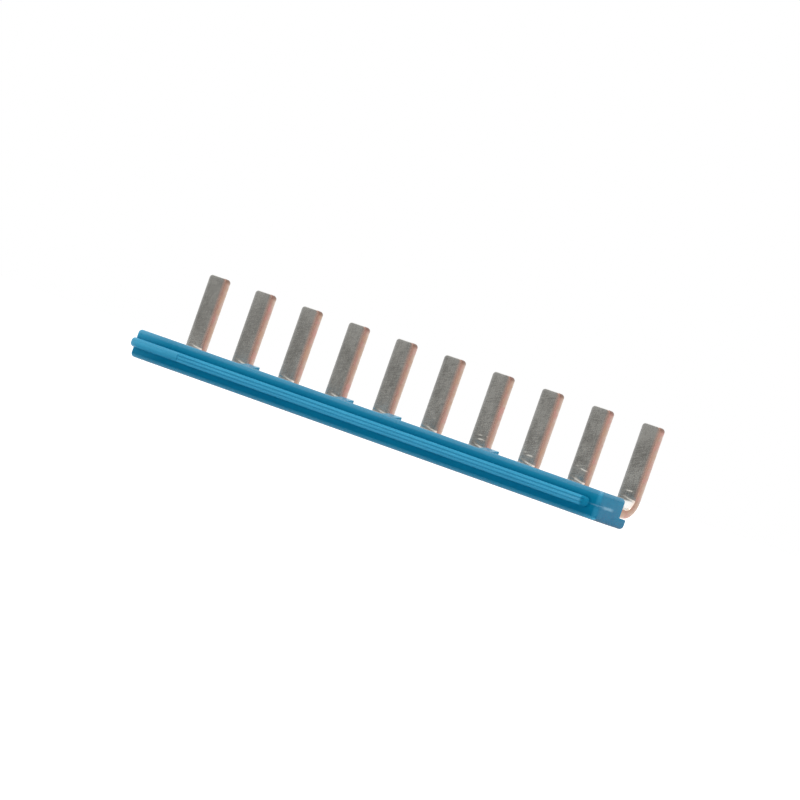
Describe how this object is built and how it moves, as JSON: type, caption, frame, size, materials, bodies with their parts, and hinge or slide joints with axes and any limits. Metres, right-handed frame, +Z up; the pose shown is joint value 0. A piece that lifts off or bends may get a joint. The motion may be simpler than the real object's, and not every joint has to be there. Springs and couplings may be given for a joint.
{
  "type": "terminal block jumper",
  "caption": "Plug-in comb jumper for terminal blocks: bent tin-plated copper blades in a row on a spine held in a blue moulded insulating profile with a front rib.",
  "frame": {"origin": "middle of the underside of the whole part's box", "axes": "+X along the row of blades, -Y out of the ribbed front, +Z up along the blades"},
  "size_m": [0.0598, 0.0084, 0.0105],
  "materials": {
    "tinned_copper": "satin tin plate on the faces of the sheet, bare copper on its cut edges",
    "blue_plastic": "moulded blue plastic with a faint satin grain"
  },
  "bodies": {
    "root": {"contact_comb": "tinned_copper", "insulating_profile": "blue_plastic"}
  },
  "joints": []
}
